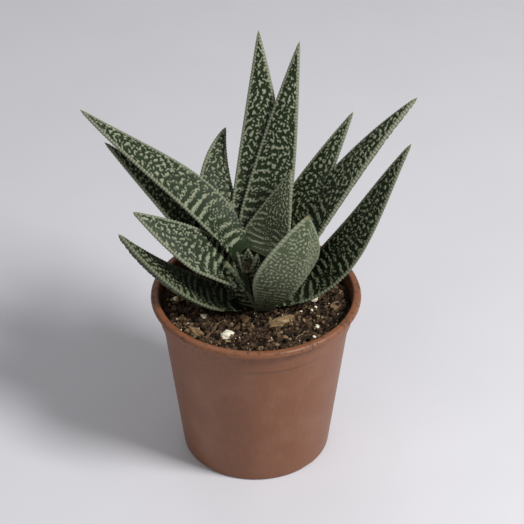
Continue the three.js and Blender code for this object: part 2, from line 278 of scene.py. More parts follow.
def piece_from(
    name: str, skin: Skin, material: bpy.types.Material, replaced: Sequence[str] = ()
) -> bpy.types.Object:
    """Make a finished object of a skin, on the object's one body, and report it.

    Args:
        name: the piece's name.
        skin: its corners in mm, faces and values.
        material: its finish.
        replaced: the solids that it stands for.

    Returns:
        The object, at the origin, with its place in its mesh.
    """
    mesh = bpy.data.meshes.new(name)
    totals = np.concatenate([np.full(len(block), block.shape[1]) for block in skin.faces])
    loops = np.concatenate([block.ravel() for block in skin.faces]).astype(np.int32)
    mesh.vertices.add(len(skin.corners))
    mesh.vertices.foreach_set("co", (skin.corners * MM).ravel().astype(np.float32))
    mesh.loops.add(len(loops))
    mesh.loops.foreach_set("vertex_index", loops)
    mesh.polygons.add(len(totals))
    starts = np.concatenate([[0], np.cumsum(totals)[:-1]])
    mesh.polygons.foreach_set("loop_start", starts.astype(np.int32))
    mesh.update(calc_edges=True)
    mesh.validate()
    for key, value in skin.values.items():
        mesh.attributes.new(key, "FLOAT", "POINT").data.foreach_set("value", value.astype(np.float32))
    mesh.shade_smooth()
    mesh.materials.append(material)
    piece = placed(name, mesh)
    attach(piece, BODY)
    if replaced:
        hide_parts(*replaced)
    LOG.info("%s: %d faces", piece.name, len(piece.data.polygons))
    return piece


# Finishes


class Coat:
    """A material that is being made: its shader tree, its principled shader and its object coordinates."""

    def __init__(self, name: str) -> None:
        """Start the material.

        Args:
            name: what the real finish is.
        """
        self.material = bpy.data.materials.new(name)
        self.material.use_nodes = True
        self.shader = self.material.node_tree.nodes["Principled BSDF"]
        self.place = self.add("TexCoord", output="Object")

    def feed(self, node: bpy.types.Node, inputs: dict[str | int, object]) -> None:
        """Set a node's inputs.

        Args:
            node: the node.
            inputs: for each input, an output socket to link, an sRGB hex colour or any other constant.
        """
        for key, value in inputs.items():
            if isinstance(value, bpy.types.NodeSocket):
                self.material.node_tree.links.new(value, node.inputs[key])
            else:
                node.inputs[key].default_value = linear(value) if isinstance(value, str) else value

    def add(
        self,
        kind: str,
        inputs: dict[str | int, object] | None = None,
        output: str | int = 0,
        ramp: Sequence[tuple[float, str]] = (),
        **settings: object,
    ) -> bpy.types.NodeSocket:
        """Add a shader node with its settings and links.

        Args:
            kind: the node's type without its ShaderNode prefix.
            inputs: what feeds its inputs, as in feed.
            output: which of its outputs is wanted.
            ramp: for a colour ramp, its stops as a position and an sRGB hex colour.
            settings: the node's own properties.

        Returns:
            The wanted output socket.
        """
        node = self.material.node_tree.nodes.new("ShaderNode" + kind)
        for key, value in settings.items():
            setattr(node, key, value)
        self.feed(node, inputs or {})
        stops = node.color_ramp.elements if ramp else ()
        while len(stops) < len(ramp):
            stops.new(1.0)
        for stop, (position, colour) in zip(stops, ramp):
            stop.position, stop.color = position, linear(colour)
        return node.outputs[output]

    def finished(self, inputs: dict[str | int, object]) -> bpy.types.Material:
        """Feed the principled shader and give the material."""
        self.feed(self.shader, inputs)
        return self.material


def per_metre(feature_mm: float) -> float:
    """Scale of a noise texture on object coordinates whose features are this many mm wide."""
    return 1 / (feature_mm * MM)


class Matter(Enum):
    """What a granule or chip is made of, with the record's material slot."""

    PERLITE = "perlite"
    BARK = "bark"


@dataclass(frozen=True)
class WaxyEpidermis:
    """Succulent leaf skin: dark green under a thin wax that gives it a satin sheen, with chalky tubercles.

    The tubercles are matt because their cells are full of air, so they scatter light and look grey green.
    """

    name: str = "waxy_leaf_epidermis"
    ground_dark: str = "#0f1707"
    ground_light: str = "#2f431b"
    tubercle_dull: str = "#636a50"
    tubercle_pale: str = "#a5a891"
    # A pale wash, painted light, on the leaves whose faces catch the lamp.
    painted_light_wash_colour: str = "#6b7159"
    tip: str = "#77704a"
    wax_roughness: float = 0.55
    chalk_roughness: float = 0.75
    mottle_mm: float = 7.0
    grain_mm: float = 0.5

    def material(self) -> bpy.types.Material:
        """Lay tubercles over the ground by each corner's height, then the painted pale wash and the dry tip.

        Returns:
            The material.
        """
        coat = Coat(self.name)
        height, tone, painted_light_wash, tip = (
            coat.add("Attribute", output="Fac", attribute_name=name)
            for name in ("tubercle", "tone", "painted_light_wash", "tip")
        )
        mottle, grain = (
            coat.add("TexNoise", {"Vector": coat.place, "Scale": per_metre(mm), "Detail": detail})
            for mm, detail in ((self.mottle_mm, 4.0), (self.grain_mm, 3.0))
        )
        # The painted light level is painted shade: it darkens the ground and the tubercles of shaded leaves.
        shade = coat.add("Math", {0: mottle, 1: tone}, operation="MULTIPLY")
        ground = coat.add("MixRGB", {"Fac": shade, "Color1": self.ground_dark, "Color2": self.ground_light})
        chalk = coat.add("MixRGB", {"Fac": tone, "Color1": self.tubercle_dull, "Color2": self.tubercle_pale})
        cover = coat.add("MapRange", {"Value": height, "From Min": 0.06, "From Max": 1.0, "To Max": 0.97})
        grained = coat.add("MapRange", {"Value": grain, "From Min": 0.3, "From Max": 0.7, "To Min": 0.8})
        covered = coat.add("Math", {0: cover, 1: grained}, operation="MULTIPLY")
        colour = ground
        # The pale wash is painted light; the tip is the leaf's own dry colour.
        for mask, layer in ((covered, chalk), (painted_light_wash, self.painted_light_wash_colour), (tip, self.tip)):
            colour = coat.add("MixRGB", {"Fac": mask, "Color1": colour, "Color2": layer})
        ends = {"To Min": self.wax_roughness, "To Max": self.chalk_roughness}
        rough = coat.add("MapRange", {"Value": height, **ends})
        bump = coat.add("Bump", {"Height": grain, "Strength": 0.25, "Distance": 0.15 * MM})
        finish = {"Base Color": colour, "Roughness": rough, "Normal": bump}
        return coat.finished({**finish, "IOR": 1.42, "Specular IOR Level": 0.3})


@dataclass(frozen=True)
class MouldedPolypropylene:
    """Thin injection-moulded polypropylene in a terracotta colour: satin, a little dusty, soil on the rim."""

    name: str = "moulded_polypropylene"
    base: str = "#7f4e32"
    deep: str = "#724529"
    dust: str = "#927762"
    scuff: str = "#97694d"
    soil: str = "#3c2c20"
    roughness: float = 0.46
    soiled_roughness: float = 0.85
    grain_mm: float = 0.35
    patch_mm: float = 16.0
    smear_mm: float = 3.0
    smear_reach: float = 12.0
    scuff_width: float = 1.3
    scuff_length: float = 12.0

    def material(self) -> bpy.types.Material:
        """Vary the colour in soft patches, lay upright scuffs and dust on it, and smear soil below the rim.

        Returns:
            The material.
        """
        coat = Coat(self.name)
        upright = (1.0, 1.0, self.scuff_width / self.scuff_length)
        tall = coat.add("Mapping", {"Vector": coat.place, "Scale": upright})
        patch, grain, smear, scuff = (
            coat.add("TexNoise", {"Vector": at, "Scale": per_metre(mm), "Detail": detail, "Roughness": rough})
            for at, mm, detail, rough in (
                (coat.place, self.patch_mm, 5.0, 0.5),
                (coat.place, self.grain_mm, 2.0, 0.5),
                (coat.place, self.smear_mm, 6.0, 0.65),
                (tall, self.scuff_width, 5.0, 0.7),
            )
        )
        height = coat.add("SeparateXYZ", {"Vector": coat.place}, output="Z")
        scuffed, dusty, near_top, spots = (
            coat.add("MapRange", {"Value": value, "From Min": low, "From Max": high, "To Max": most})
            for value, low, high, most in (
                (scuff, 0.5, 0.78, 0.3),
                (patch, 0.5, 0.95, 0.3),
                (height, (POT_HEIGHT - self.smear_reach) * MM, POT_HEIGHT * MM, 0.9),
                (smear, 0.52, 0.66, 1.0),
            )
        )
        smudge = coat.add("Math", {0: near_top, 1: spots}, operation="MULTIPLY")
        colour = self.deep
        layers = ((patch, self.base), (scuffed, self.scuff), (dusty, self.dust), (smudge, self.soil))
        for mask, layer in layers:
            colour = coat.add("MixRGB", {"Fac": mask, "Color1": colour, "Color2": layer})
        ends = {"To Min": self.roughness, "To Max": self.soiled_roughness}
        rough = coat.add("MapRange", {"Value": smudge, **ends})
        bump = coat.add("Bump", {"Height": grain, "Strength": 0.2, "Distance": 0.1 * MM})
        return coat.finished({"Base Color": colour, "Roughness": rough, "Normal": bump, "IOR": 1.49})


@dataclass(frozen=True)
class Crumbly:
    """A dry, crumbly matter: fully matt, coloured by a tint that each bit holds."""

    name: str
    tints: tuple[tuple[float, str], ...]
    grain_mm: float
    roughness: float = 0.95
    bump_mm: float = 0.25

    def material(self) -> bpy.types.Material:
        """Pick the colour from the tints by the corner's own tint moved a little by fine noise.

        Returns:
            The material.
        """
        coat = Coat(self.name)
        tint = coat.add("Attribute", output="Fac", attribute_name="tint")
        texture = {"Vector": coat.place, "Scale": per_metre(self.grain_mm), "Detail": 5.0, "Roughness": 0.6}
        grain = coat.add("TexNoise", texture)
        spread = {"From Min": 0.25, "From Max": 0.75, "To Min": -0.2, "To Max": 0.2}
        stray = coat.add("MapRange", {"Value": grain, **spread})
        moved = coat.add("Math", {0: tint, 1: stray}, operation="ADD")
        colour = coat.add("ValToRGB", {"Fac": moved}, ramp=self.tints)
        bump = coat.add("Bump", {"Height": grain, "Strength": 0.8, "Distance": self.bump_mm * MM})
        finish = {"Base Color": colour, "Normal": bump, "Roughness": self.roughness}
        return coat.finished({**finish, "Specular IOR Level": 0.2})


# Milled peat is moss broken to crumbs, near black to pale brown; the soil's hollows take its dark tints as
# painted shade.
PEAT = Crumbly(
    name="peat_and_bark_fines",
    tints=((0.0, "#0f0a07"), (0.3, "#261b12"), (0.55, "#4a3929"), (0.78, "#77634a"), (1.0, "#b39f80")),
    grain_mm=1.1,
)
# Pine bark splits along its grain, and dries to a matt tan that is darker on its old side.
BARK = Crumbly(
    name="dry_pine_bark",
    tints=((0.0, "#2c1f16"), (0.4, "#584430"), (0.7, "#7f694b"), (1.0, "#a18b6b")),
    grain_mm=0.9,
)
# Perlite is volcanic glass that heat has blown to a foam, so it is chalky white, with soil in its pits.
PERLITE = Crumbly(
    name="expanded_perlite",
    tints=((0.0, "#8f8672"), (0.4, "#c9c1aa"), (0.75, "#e6dfc9"), (1.0, "#f3eee0")),
    grain_mm=0.8,
    roughness=0.9,
)
# Cork and the dry bases of lost leaves are fibrous: matt grey brown, paler on the scars' edges.
DRY_STEM = Crumbly(
    name="corky_stem_and_dry_leaf_bases",
    tints=((0.0, "#1b1710"), (0.4, "#3a3424"), (0.7, "#5b5238"), (1.0, "#84775a")),
    grain_mm=1.0,
    roughness=0.8,
)


# Leaves


@dataclass(frozen=True)
class Leaf:
    """One leaf: its course and outline in degrees and mm, as the solid of the same name has them."""

    node: str
    azimuth: float
    root_rise: float
    tip_rise: float
    curl: float
    sweep: float
    roll: float
    length: float
    width: float
    reach: float
    root_height: float
    bearing: float | None = None
    taper: float = 1.55
    foot: float = 0.8
    broadest: float = 0.22
    relief: float = 0.45
    # Painted shade: a low level darkens a leaf that lies in the shadow of others.
    tone: float = 0.5
    grain: float = 1.0
    # Painted light: a pale wash over a leaf that faces the lamp.
    painted_light_wash: float = 0.0

    def full(self, t: Array) -> Array:
        """Give the share of the full width.

        Args:
            t: places from root 0 to tip 1.

        Returns:
            From the foot's share eased to one, then one less a power of the way to the tip.
        """
        inner = self.foot + (1 - self.foot) * smooth(t / self.broadest)
        outer = 1 - np.clip((t - self.broadest) / (1 - self.broadest), 0, 1) ** self.taper
        return np.where(t < self.broadest, inner, outer)

    def directions(self, t: Array) -> tuple[Array, Array, Array]:
        """Give the directions across, up and along the leaf.

        The slope settles from root_rise to tip_rise with the cube of what is left of the way, and curl adds
        its share with the square of the way. The leaf then turns in its own plane by sweep and about itself
        by roll.

        Args:
            t: places from root 0 to tip 1.

        Returns:
            Unit vectors across, up and along, each (places, 3).
        """
        heading = np.radians(self.azimuth)
        level = np.array([-np.sin(heading), np.cos(heading), 0.0])
        settling = (self.root_rise - self.tip_rise) * (1 - t) ** 3
        rise = np.radians(self.tip_rise + settling + self.curl * t**2)
        flat = np.cos(rise)
        straight = xyz(flat * np.cos(heading), flat * np.sin(heading), np.sin(rise))
        normal = np.cross(straight, level)
        along = rotated(straight, normal, self.sweep * t)
        across = rotated(np.cross(normal, along), along, self.roll * smooth(2 * t))
        return across, np.cross(along, across), along

    def midrib(self, t: Array, steps: int = 60) -> Array:
        """Give the midrib's points.

        Args:
            t: places from root 0 to tip 1.
            steps: how many short straight steps are summed.

        Returns:
            Points in mm: the root plus the running sum of the steps, read between them.
        """
        bearing = np.radians(self.azimuth if self.bearing is None else self.bearing)
        root = np.array([*ROSETTE_CENTRE, SOIL_LEVEL + self.root_height])
        root = root + self.reach * np.array([np.cos(bearing), np.sin(bearing), 0.0])
        along = self.directions((np.arange(steps) + 0.5) / steps)[2] * self.length / steps
        points = np.concatenate([[root], root + np.cumsum(along, axis=0)])
        knots = np.linspace(0, 1, steps + 1)
        return np.stack([np.interp(t, knots, points[:, k]) for k in range(3)], axis=-1)


@dataclass(frozen=True)
class Section:
    """The corners round a leaf's cross-section: upper line, round margin, under line, round margin.

    v is each corner's place from margin 1 to margin -1, edge how far it is out on the margin's round, and
    lift its place from the under side -1 to the upper side 1.
    """

    v: Array
    edge: Array
    lift: Array

    @classmethod
    def of(cls, upper: int, under: int, margin: int = 5) -> "Section":
        """Lay out the corners.

        Args:
            upper: corners on the upper line.
            under: corners on the under line.
            margin: corners on each round margin.

        Returns:
            The section.
        """
        bend = np.linspace(0, np.pi, margin + 2)[1:-1]
        out, rise, end = np.sin(bend), np.cos(bend), np.ones(margin)
        v = np.concatenate([np.linspace(1, -1, upper), -end, np.linspace(-1, 1, under), end])
        edge = np.concatenate([np.zeros(upper), out, np.zeros(under), out])
        lift = np.concatenate([np.ones(upper), rise, -np.ones(under), -rise])
        return cls(v, edge, lift)


# From the oldest and lowest to the youngest. The numbers are azimuth, root_rise, tip_rise, curl, sweep and
# roll, then length, width, reach and root_height.
# A low painted light level marks the leaves that lie in shadow, such as the old base and the hearts: painted
# shade.
LEAVES: tuple[Leaf, ...] = (
    Leaf(
        "leaf_01_old_base", 213, 70, 66, 0, 0, 0, 30, 21, 6, 3,
        bearing=265, taper=3.5, foot=0.9, broadest=0.3, tone=0.1,
    ),
    Leaf("leaf_02_left_low", 192, 14, 41, 11, -7, -6, 75, 24, 8, 4, bearing=235, tone=0.15, grain=0.9),
    Leaf(
        "leaf_03_front_cupped", 302, 63, 67, 19, 18, 0, 66, 37, 14, 3.5,
        bearing=315, taper=1.7, foot=0.45, broadest=0.5, relief=0.25, tone=0.62, grain=0.6, painted_light_wash=0.34,
    ),
    Leaf("leaf_04_right_upturned", 0, 1, 71, -10, 4, 32, 118, 25, 7, 2.5, tone=0.28),
    Leaf("leaf_05_back_low", 86, 10, 22, 6, 4, 6, 84, 22, 7, 5),
    Leaf("leaf_06_left_under", 154, 55, 34, 0, 1, -10, 93, 22, 7, 13, tone=0.4),
    Leaf("leaf_07_back_left_low", 126, 8, 16, 4, -4, -10, 70, 22, 7, 7),
    Leaf("leaf_08_back_left_inner", 138, 58, 44, -1, -61, 0, 81, 27, 6, 13, tone=0.3),
    Leaf("leaf_09_right_long", 27, 43, 54, -17, -4, -10, 122, 31, 6, 8, tone=0.48, grain=1.1),
    Leaf("leaf_10_back_right", 46, 32, 48, 2, -4, 6, 95, 23, 5, 13, tone=0.3),
    Leaf("leaf_11_back_tall", 68.5, 39, 68, -1, -3.5, 0, 114, 25, 5, 18.5, taper=1.4, tone=0.55),
    Leaf("leaf_12_back_tall_inner", 78, 31, 71, -4.5, 8, 0, 119, 27, 5, 17, tone=0.6),
    Leaf("leaf_13_left_long", 152, 66, 16, 14, 2, -14, 109, 22, 3.5, 27, tone=0.52),
    Leaf(
        "leaf_14_left_broad", 183, 30, 36, 0, -3.5, -28, 68, 24, 8, 20,
        bearing=275, foot=1.2, broadest=0.35, tone=0.45,
    ),
    Leaf(
        "leaf_15_right_inner", 50, 54, 58, 0, 0, 0, 45, 30, 7, 25,
        bearing=30, taper=1.15, foot=0.95, broadest=0.1, relief=0.3, tone=0.5, grain=0.65, painted_light_wash=0.2,
    ),
    Leaf("leaf_16_left_heart", 190, 62, 78, 6, 0, 0, 12, 10, 2.4, 18, relief=0.2, tone=0.2, grain=0.55),
    Leaf("leaf_17_right_heart", 330, 64, 78, 6, 0, 0, 12, 9, 2.4, 18, relief=0.2, tone=0.2, grain=0.55),
    Leaf("leaf_18_heart", 90, 76, 86, 6, 0, 0, 11, 7, 0.6, 19, relief=0.2, tone=0.25, grain=0.55),
)


@dataclass
class Rosette:
    """The leaves, each a fine skin over the form of its solid, with raised tubercles."""

    leaves: tuple[Leaf, ...] = LEAVES
    epidermis: WaxyEpidermis = WaxyEpidermis()
    seed: int = 41
    corner_mm: float = 0.42
    bar_spacing: float = 4.5
    bar_arch: float = 1.6
    maze_spacing: float = 3.2
    bead_spacing: float = 1.7
    bead_share: float = 0.8
    maze_start: float = 0.15
    maze_span: float = 0.55
    threshold: float = 0.05
    ridge_rise: float = 1.3
    bare_spacing: float = 7.0
    bare_level: float = -2.0
    bare_edge: float = 0.7
    margin_mm: float = 1.0
    margin_swing: float = 0.28
    tip_start: float = 0.965
    tip_span: float = 0.03
    # Painted shade: the light level falls towards each leaf's base, where the leaves shade one another.
    painted_light_rise: float = 0.25

    def tubercles(self, leaf: Leaf, rng: np.random.Generator, t: Array, v: Array, w: Array) -> Array:
        """Give the height of the tubercles from 0 to 1.

        Near the root the ridges are waves that run along the leaf, so they lie across it as broken bars.
        Towards the tip waves of all directions take over and make a maze of dots and short worms. A fine wave
        breaks both into beads, a ridge is where their sum passes a threshold, and a coarse wave opens gaps in
        it. Along each margin the height is a rim of close beads.

        Args:
            leaf: the leaf.
            rng: its seeded noise.
            t: place along it from 0 to 1.
            v: place across it from -1 to 1.
            w: place across it in mm.

        Returns:
            Heights, of the same shape as t.
        """
        size = (leaf.length + 12, 2.4 * leaf.width)
        bars = wave_field(rng, size, self.bar_spacing * leaf.grain, band=0.22, fan=0.42)
        maze = wave_field(rng, size, self.maze_spacing * leaf.grain, band=0.25)
        beads = wave_field(rng, size, self.bead_spacing * leaf.grain**0.5, band=0.3)
        gaps = wave_field(rng, size, self.bare_spacing, band=0.4)
        s = t * leaf.length
        arched = s - self.bar_arch * (1 - v**2)
        share = smooth((t - self.maze_start) / self.maze_span)
        mixed = bars.at(arched, w) * (1 - share) + maze.at(arched, w) * share
        mixed = mixed / np.sqrt(share**2 + (1 - share) ** 2) + self.bead_share * beads.at(arched, w)
        ridge = smooth((mixed - self.threshold) / self.ridge_rise)
        ridge = ridge * smooth((gaps.at(s, w) - self.bare_level) / self.bare_edge)
        rim = 1 + self.margin_swing * (np.cos(FULL_TURN * s / self.bead_spacing) - 1)
        inwards = leaf.width / 2 * leaf.full(t) * (1 - np.abs(v))
        at_margin = smooth((self.margin_mm - inwards) / (0.5 * self.margin_mm)) * smooth((t - 0.1) / 0.1)
        height = ridge * (1 - at_margin) + rim * at_margin
        return height * smooth((t - 0.02) / 0.05) * smooth((1 - t) / 0.03)

    def skin(self, leaf: Leaf, index: int) -> Skin:
        """Work out one leaf's skin.

        The section is the solid's: its upper line is hollow near the root and full near the tip, (1 - v
        squared) times a depth, and its under line is a keel, (1 - |v| to the 1.35) times a depth. The margins
        are half circles. Each corner then moves out along the skin's normal by the tubercle height, for which
        the upper and the under side read parts of the noise of their own.

        Args:
            leaf: the leaf.
            index: its number from the oldest.

        Returns:
            The closed skin with its tubercle heights, painted light level, painted pale wash and tip values.
        """
        rng = np.random.default_rng(self.seed + index)
        rows = int(leaf.length / self.corner_mm)
        section = Section.of(int(leaf.width / self.corner_mm), int(1.12 * leaf.width / self.corner_mm))
        place = np.linspace(0, 1, rows) ** 0.94 * 0.996
        t, v = place[:, None], section.v[None, :]
        across, up, along = leaf.directions(place)
        ribs = leaf.midrib(place)
        full = leaf.full(t)
        half = leaf.width / 2 * full
        thick = np.minimum(MARGIN_HALF, half * 0.5)
        fill = np.maximum(full, 0) ** 0.8 * (0.55 + 0.45 * smooth(t / 0.3))
        upper = leaf.width * (HOLLOW + (FULLNESS - HOLLOW) * smooth(t / 0.7)) * fill * (1 - v**2)
        under = -leaf.width * KEEL_DEPTH * fill * (1 - np.abs(v) ** 1.35)
        x = v * (half - thick) + np.sign(v) * thick * section.edge
        z = np.where(section.lift > 0, upper, under) + section.lift * thick
        rings = ribs[:, None] + across[:, None] * x[..., None] + up[:, None] * z[..., None]
        own_part = np.where(section.lift > 0, 0.6, 1.8) * leaf.width
        t, v, w = np.broadcast_arrays(t, v, v * half + own_part)
        height = self.tubercles(leaf, rng, t, v, w)
        aside = (np.roll(rings, -1, axis=1) - np.roll(rings, 1, axis=1)) / 2
        normal = unit(np.cross(np.gradient(rings, axis=0), aside))
        from_middle = rings - rings.mean(axis=1, keepdims=True)
        outward = normal * np.sign(np.sum(normal * from_middle, axis=-1).mean())
        rings = rings + outward * (leaf.relief * height)[..., None]
        values = {
            "tubercle": height,
            # The light level is painted shade, set per leaf and lower towards the base.
            "tone": leaf.tone + self.painted_light_rise * (t - 0.4),
            # Painted light: the pale wash.
            "painted_light_wash": np.full_like(height, leaf.painted_light_wash),
            "tip": smooth((t - self.tip_start) / self.tip_span),
        }
        return closed_skin(rings, (ribs[0] - up[0] * 0.5, leaf.midrib(np.array([1.0]))[0]), values)

    def build(self) -> None:
        """Make every leaf's piece."""
        material = self.epidermis.material()
        for k, leaf in enumerate(self.leaves):
            piece_from(leaf.node + "_skin", self.skin(leaf, k), material, (leaf.node,))


# The pot


def rounded(profile: Sequence[tuple[float, float]], radius: float, steps: int = 4) -> Array:
    """Round the corners of an open profile.

    Each inner corner is replaced by points of the quadratic curve that leaves one side and joins the next, no
    further than the radius or 0.45 of a side from the corner.

    Args:
        profile: points of radius and height.
        radius: how far from a corner its round starts.
        steps: points on each round.

    Returns:
        The rounded profile, (points, 2).
    """
    points = np.array(profile, dtype=float)
    corner = points[1:-1]
    side = np.stack([points[:-2] - corner, points[2:] - corner])
    reach = np.linalg.norm(side, axis=-1, keepdims=True)
    first, second = (corner + side / reach * np.minimum(radius, 0.45 * reach))[:, :, None]
    u = np.linspace(0, 1, steps)[None, :, None]
    curve = (1 - u) ** 2 * first + 2 * u * (1 - u) * corner[:, None] + u**2 * second
    return np.concatenate([points[:1], curve.reshape(-1, 2), points[-1:]])


def turned_skin(profile: Array, sides: int, centre: tuple[float, float] = (0.0, 0.0)) -> Skin:
    """Turn a profile that starts and ends on the axis.

    Point (i, j) is (r cos a, r sin a, z) of profile point i at angle j of the full turn.

    Args:
        profile: points of radius and height, (points, 2).
        sides: how many angles.
        centre: where the axis stands.

    Returns:
        The closed skin.
    """
    angle = angles(sides)
    radius, height = profile[1:-1, :1], profile[1:-1, 1:]
    rings = xyz(centre[0] + radius * np.cos(angle), centre[1] + radius * np.sin(angle), height)
    return closed_skin(rings, [np.array([*centre, profile[k, 1]]) for k in (0, -1)])


@dataclass
class NurseryPot:
    """The thin pot: a turned wall with a collar and a rolled lip, drain holes and vents under the foot."""

    rim_radius: float = 52.5
    base_radius: float = 37.5
    wall: float = 1.0
    collar_height: float = 15.0
    collar_step: float = 1.3
    lip_width: float = 3.2
    lip_height: float = 2.8
    shoulder_radius: float = 46.8
    centre_land: float = 14.0
    foot_width: float = 3.5
    channel_rise: float = 2.5
    drain_holes: int = 8
    drain_radius: float = 3.2
    foot_vents: int = 4
    vent_width: float = 7.0
    vent_rise: float = 1.2
    corner_round: float = 0.8
    sides: int = 160
    finish: MouldedPolypropylene = MouldedPolypropylene()

    def profile(self) -> Array:
        """Draw the wall from the middle of the underside, up the outside and down the inside.

        Returns:
            Points of radius and height with rounded corners, (points, 2).
        """
        top, lip = POT_HEIGHT, POT_HEIGHT - self.lip_height
        collar = top - self.collar_height
        collar_radius = self.shoulder_radius + self.collar_step
        neck = self.rim_radius - self.lip_width
        floor = self.channel_rise + self.wall
        foot_inner = self.base_radius - self.foot_width
        corners = [
            (0, 0),
            (self.centre_land, 0),
            (self.centre_land + 1.5, self.channel_rise),
            (foot_inner - 1.5, self.channel_rise),
            (foot_inner, 0),
            (self.base_radius - 0.8, 0),
            (self.base_radius, 1),
            (self.shoulder_radius, collar),
            (collar_radius, collar + 1),
            (neck, lip),
            (self.rim_radius - 0.3, lip),
            (self.rim_radius, lip + 0.7),
            (self.rim_radius - 0.5, top - 0.5),
            (self.rim_radius - 1.4, top),
            (neck - 0.2, top),
            (neck - self.wall, top - 0.9),
            (collar_radius - self.wall, collar + 1.4),
            (self.shoulder_radius - self.wall, collar),
            (self.base_radius - self.wall + 0.3, floor),
            (self.centre_land + 1.1, floor),
            (self.centre_land - 0.5, self.wall),
            (0, self.wall),
        ]
        return rounded(corners, self.corner_round)

    def cutters(self) -> Skin:
        """Make the drain holes' rods, and the foot vents' bars of four corners swept outwards.

        Returns:
            One skin of separate closed bodies.
        """
        hole_ring = (self.centre_land + self.base_radius - self.foot_width) / 2 + 2
        rod = rounded([(0, -2), (self.drain_radius, -2), (self.drain_radius, 8), (0, 8)], 0.1, 2)
        turns = np.arange(self.drain_holes) * FULL_TURN / self.drain_holes
        bodies = [turned_skin(rod, 32, (hole_ring * np.cos(a), hole_ring * np.sin(a))) for a in turns]
        middle = self.base_radius - self.foot_width / 2 + 1.4
        half = (self.foot_width + 4) / 2
        ends = np.array([middle - half, middle + half])[:, None, None]
        aside = np.array([-1, 1, 1, -1])[:, None] * self.vent_width / 2
        rise = np.array([-1, -1, 1, 1])[:, None] * self.vent_rise
        for a in (np.arange(self.foot_vents) + 0.5) * FULL_TURN / self.foot_vents:
            out, over = np.array([np.cos(a), np.sin(a), 0]), np.array([-np.sin(a), np.cos(a), 0])
            bodies.append(closed_skin(ends * out + (aside * over + rise * UP)))
        return gathered(bodies)

    def build(self) -> None:
        """Turn the wall, cut the holes and vents, and finish it."""
        material = self.finish.material()
        pot = piece_from("pot_wall", turned_skin(self.profile(), self.sides), material, ("pot",))
        tool = piece_from("pot_cutter", self.cutters(), material)
        cut = pot.modifiers.new("holes", "BOOLEAN")
        cut.operation, cut.solver, cut.object = "DIFFERENCE", "EXACT", tool
        graph = bpy.context.evaluated_depsgraph_get()
        made = bpy.data.meshes.new_from_object(pot.evaluated_get(graph))
        pot.modifiers.clear()
        pot.data = made
        bpy.data.objects.remove(tool)
        made.shade_smooth()


# The soil


@dataclass(frozen=True)
class Scatter:
    """A kind of crumb strewn on the soil: how many, how long, how stretched, and its tints."""

    name: str
    finish: Crumbly
    slot: str
    count: int
    least: float
    most: float
    stretch: float
    flat: float
    tint: tuple[float, float]
    sink: float = 0.1


SCATTERS: tuple[Scatter, ...] = (
    Scatter("peat_crumbs", PEAT, "soil", 2300, 0.7, 2.6, 1.5, 0.8, (0.05, 0.72)),
    Scatter("bark_fines", BARK, "bark", 420, 1.4, 4.6, 2.3, 0.55, (0.1, 0.85)),
    Scatter("perlite_crumbs", PERLITE, "perlite", 60, 0.7, 2.2, 1.2, 0.85, (0.3, 0.9), 0.2),
)


